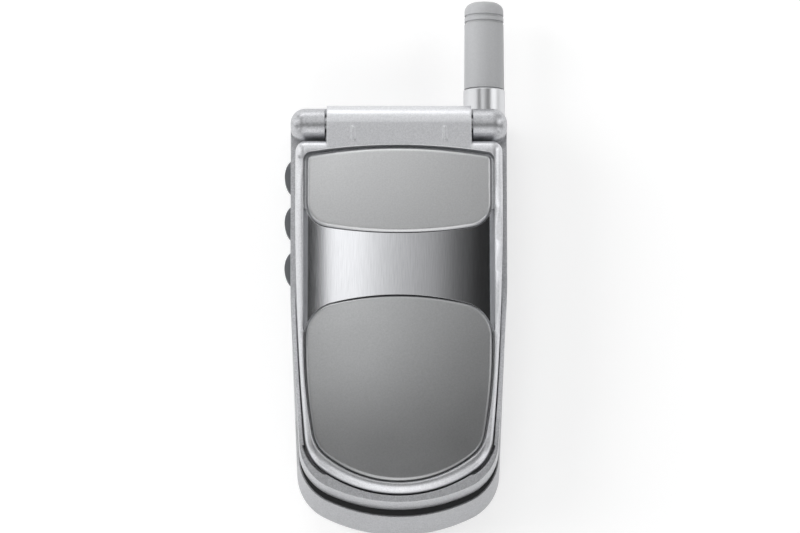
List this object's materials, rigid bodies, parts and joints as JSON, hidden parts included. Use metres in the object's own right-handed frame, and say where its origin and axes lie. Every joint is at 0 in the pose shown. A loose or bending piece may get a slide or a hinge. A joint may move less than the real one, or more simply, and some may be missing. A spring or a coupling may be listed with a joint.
{
  "type": "flip phone",
  "caption": "Small closed clamshell mobile phone with a hinged lid over the keypad and display, pull-out antenna, side keys and a sliding battery cover.",
  "frame": {"origin": "a point on the flat back face, on the middle plane and near mid-length of the body without its antenna", "axes": "+Y from the foot towards the hinge and antenna, +Z out of the lid's front, +X to the right as seen from the front"},
  "size_m": [0.0455, 0.1091, 0.0259],
  "materials": {
    "body_silver": "satin silver lacquer over moulded plastic",
    "lid_silver": "fine satin silver lacquer over moulded plastic",
    "collar_chrome": "turned and plated",
    "panel_satin": "soft satin metallic paint over moulded plastic",
    "pad_satin": "soft satin metallic paint over moulded plastic",
    "chrome_band": "bright plated, faintly drawn along",
    "seal_black": "matte",
    "button_grey": "soft matte",
    "antenna_grey": "soft moulded",
    "inner_grey": "fine moulded texture",
    "key_rubber": "translucent satin",
    "lens_clear": "polished",
    "display_green": "glass over a grey-green panel",
    "mat_rubber": "matte",
    "board_green": "solder mask",
    "can_steel": "tinned sheet",
    "connector_black": "moulded",
    "battery_case": "moulded",
    "card_white": "plain card",
    "steel": "turned",
    "coil_brass": "drawn wire"
  },
  "bodies": {
    "base": {"accessory_port": "connector_black", "antenna_collar": "collar_chrome", "antenna_contact": "can_steel", "back_housing": "body_silver", "battery_contacts": "connector_black", "battery_pack": "battery_case", "display_lens": "lens_clear", "display_module": "display_green", "dome_sheet": "mat_rubber", "front_housing": "body_silver", "hinge_pin": "steel", "hinge_shaft": "steel", "housing_screws": "steel", "keypad_mat": "mat_rubber", "latch_spring": "steel", "main_board": "board_green", "microphone": "can_steel", "parting_seal": "seal_black", "shield_cans": "can_steel", "side_switches": "board_green", "sim_holder": "can_steel", "vibration_motor": "can_steel"},
    "flip": {"flip_outer_shell": "lid_silver", "flip_inner_cover": "inner_grey", "upper_panel": "panel_satin", "lower_pad": "pad_satin", "waist_band": "chrome_band", "earpiece": "can_steel", "earpiece_gasket": "seal_black", "flip_magnet": "can_steel", "flip_bumpers": "seal_black", "flip_flex": "board_green", "hinge_module": "steel", "hinge_follower": "steel", "hinge_spring": "steel"},
    "antenna": {"antenna_cap": "antenna_grey", "antenna_whip": "steel", "antenna_coil": "coil_brass"},
    "cover": {"battery_cover": "body_silver"},
    "latch": {"battery_latch": "button_grey"},
    "sim": {"sim_card": "card_white"},
    "motor_weight": {"vibration_weight": "can_steel"},
    "key_0_body": {"key_0": "key_rubber"},
    "key_1_body": {"key_1": "key_rubber"},
    "key_2_body": {"key_2": "key_rubber"},
    "key_3_body": {"key_3": "key_rubber"},
    "key_4_body": {"key_4": "key_rubber"},
    "key_5_body": {"key_5": "key_rubber"},
    "key_6_body": {"key_6": "key_rubber"},
    "key_7_body": {"key_7": "key_rubber"},
    "key_8_body": {"key_8": "key_rubber"},
    "key_9_body": {"key_9": "key_rubber"},
    "key_end_body": {"key_end": "key_rubber"},
    "key_hash_body": {"key_hash": "key_rubber"},
    "key_menu_body": {"key_menu": "key_rubber"},
    "key_send_body": {"key_send": "key_rubber"},
    "key_star_body": {"key_star": "key_rubber"},
    "side_button_lower_body": {"side_button_lower": "button_grey"},
    "side_button_middle_body": {"side_button_middle": "button_grey"},
    "side_button_upper_body": {"side_button_upper": "button_grey"}
  },
  "joints": [
    {"name": "flip_hinge", "type": "hinge", "parent": "base", "child": "flip", "pos_m": [0, 0.039, 0.0211], "axis": [-1, 0, 0], "range_deg": [0, 155]},
    {"name": "antenna_pull", "type": "slide", "parent": "base", "child": "antenna", "axis": [0, 1, 0], "range_m": [0, 0.055]},
    {"name": "battery_cover_slide", "type": "slide", "parent": "base", "child": "cover", "axis": [0, -1, 0], "range_m": [0, 0.056]},
    {"name": "battery_latch_press", "type": "slide", "parent": "base", "child": "latch", "axis": [0, 1, 0], "range_m": [0, 0.0012], "stiffness_N_per_m": 800, "springref_m": -0.0005, "deforming": ["latch_spring"]},
    {"name": "sim_card_slide", "type": "slide", "parent": "base", "child": "sim", "axis": [0, -1, 0], "range_m": [0, 0.016]},
    {"name": "motor_spin", "type": "hinge", "parent": "base", "child": "motor_weight", "pos_m": [0, -0.0309, 0.0106], "axis": [1, 0, 0], "continuous": true},
    {"name": "key_0_press", "type": "slide", "parent": "base", "child": "key_0_body", "axis": [0, 0, -1], "range_m": [0, 0.0004], "stiffness_N_per_m": 2000, "springref_m": -0.0002},
    {"name": "key_1_press", "type": "slide", "parent": "base", "child": "key_1_body", "axis": [0, 0, -1], "range_m": [0, 0.0004], "stiffness_N_per_m": 2000, "springref_m": -0.0002},
    {"name": "key_2_press", "type": "slide", "parent": "base", "child": "key_2_body", "axis": [0, 0, -1], "range_m": [0, 0.0004], "stiffness_N_per_m": 2000, "springref_m": -0.0002},
    {"name": "key_3_press", "type": "slide", "parent": "base", "child": "key_3_body", "axis": [0, 0, -1], "range_m": [0, 0.0004], "stiffness_N_per_m": 2000, "springref_m": -0.0002},
    {"name": "key_4_press", "type": "slide", "parent": "base", "child": "key_4_body", "axis": [0, 0, -1], "range_m": [0, 0.0004], "stiffness_N_per_m": 2000, "springref_m": -0.0002},
    {"name": "key_5_press", "type": "slide", "parent": "base", "child": "key_5_body", "axis": [0, 0, -1], "range_m": [0, 0.0004], "stiffness_N_per_m": 2000, "springref_m": -0.0002},
    {"name": "key_6_press", "type": "slide", "parent": "base", "child": "key_6_body", "axis": [0, 0, -1], "range_m": [0, 0.0004], "stiffness_N_per_m": 2000, "springref_m": -0.0002},
    {"name": "key_7_press", "type": "slide", "parent": "base", "child": "key_7_body", "axis": [0, 0, -1], "range_m": [0, 0.0004], "stiffness_N_per_m": 2000, "springref_m": -0.0002},
    {"name": "key_8_press", "type": "slide", "parent": "base", "child": "key_8_body", "axis": [0, 0, -1], "range_m": [0, 0.0004], "stiffness_N_per_m": 2000, "springref_m": -0.0002},
    {"name": "key_9_press", "type": "slide", "parent": "base", "child": "key_9_body", "axis": [0, 0, -1], "range_m": [0, 0.0004], "stiffness_N_per_m": 2000, "springref_m": -0.0002},
    {"name": "key_end_press", "type": "slide", "parent": "base", "child": "key_end_body", "axis": [0, 0, -1], "range_m": [0, 0.0004], "stiffness_N_per_m": 2000, "springref_m": -0.0002},
    {"name": "key_hash_press", "type": "slide", "parent": "base", "child": "key_hash_body", "axis": [0, 0, -1], "range_m": [0, 0.0004], "stiffness_N_per_m": 2000, "springref_m": -0.0002},
    {"name": "key_menu_press", "type": "slide", "parent": "base", "child": "key_menu_body", "axis": [0, 0, -1], "range_m": [0, 0.0004], "stiffness_N_per_m": 2000, "springref_m": -0.0002},
    {"name": "key_send_press", "type": "slide", "parent": "base", "child": "key_send_body", "axis": [0, 0, -1], "range_m": [0, 0.0004], "stiffness_N_per_m": 2000, "springref_m": -0.0002},
    {"name": "key_star_press", "type": "slide", "parent": "base", "child": "key_star_body", "axis": [0, 0, -1], "range_m": [0, 0.0004], "stiffness_N_per_m": 2000, "springref_m": -0.0002},
    {"name": "side_button_lower_press", "type": "slide", "parent": "base", "child": "side_button_lower_body", "axis": [1, 0, 0], "range_m": [0, 0.00045], "stiffness_N_per_m": 2000, "springref_m": -0.0002},
    {"name": "side_button_middle_press", "type": "slide", "parent": "base", "child": "side_button_middle_body", "axis": [1, 0, 0], "range_m": [0, 0.00045], "stiffness_N_per_m": 2000, "springref_m": -0.0002},
    {"name": "side_button_upper_press", "type": "slide", "parent": "base", "child": "side_button_upper_body", "axis": [1, 0, 0], "range_m": [0, 0.00045], "stiffness_N_per_m": 2000, "springref_m": -0.0002}
  ]
}
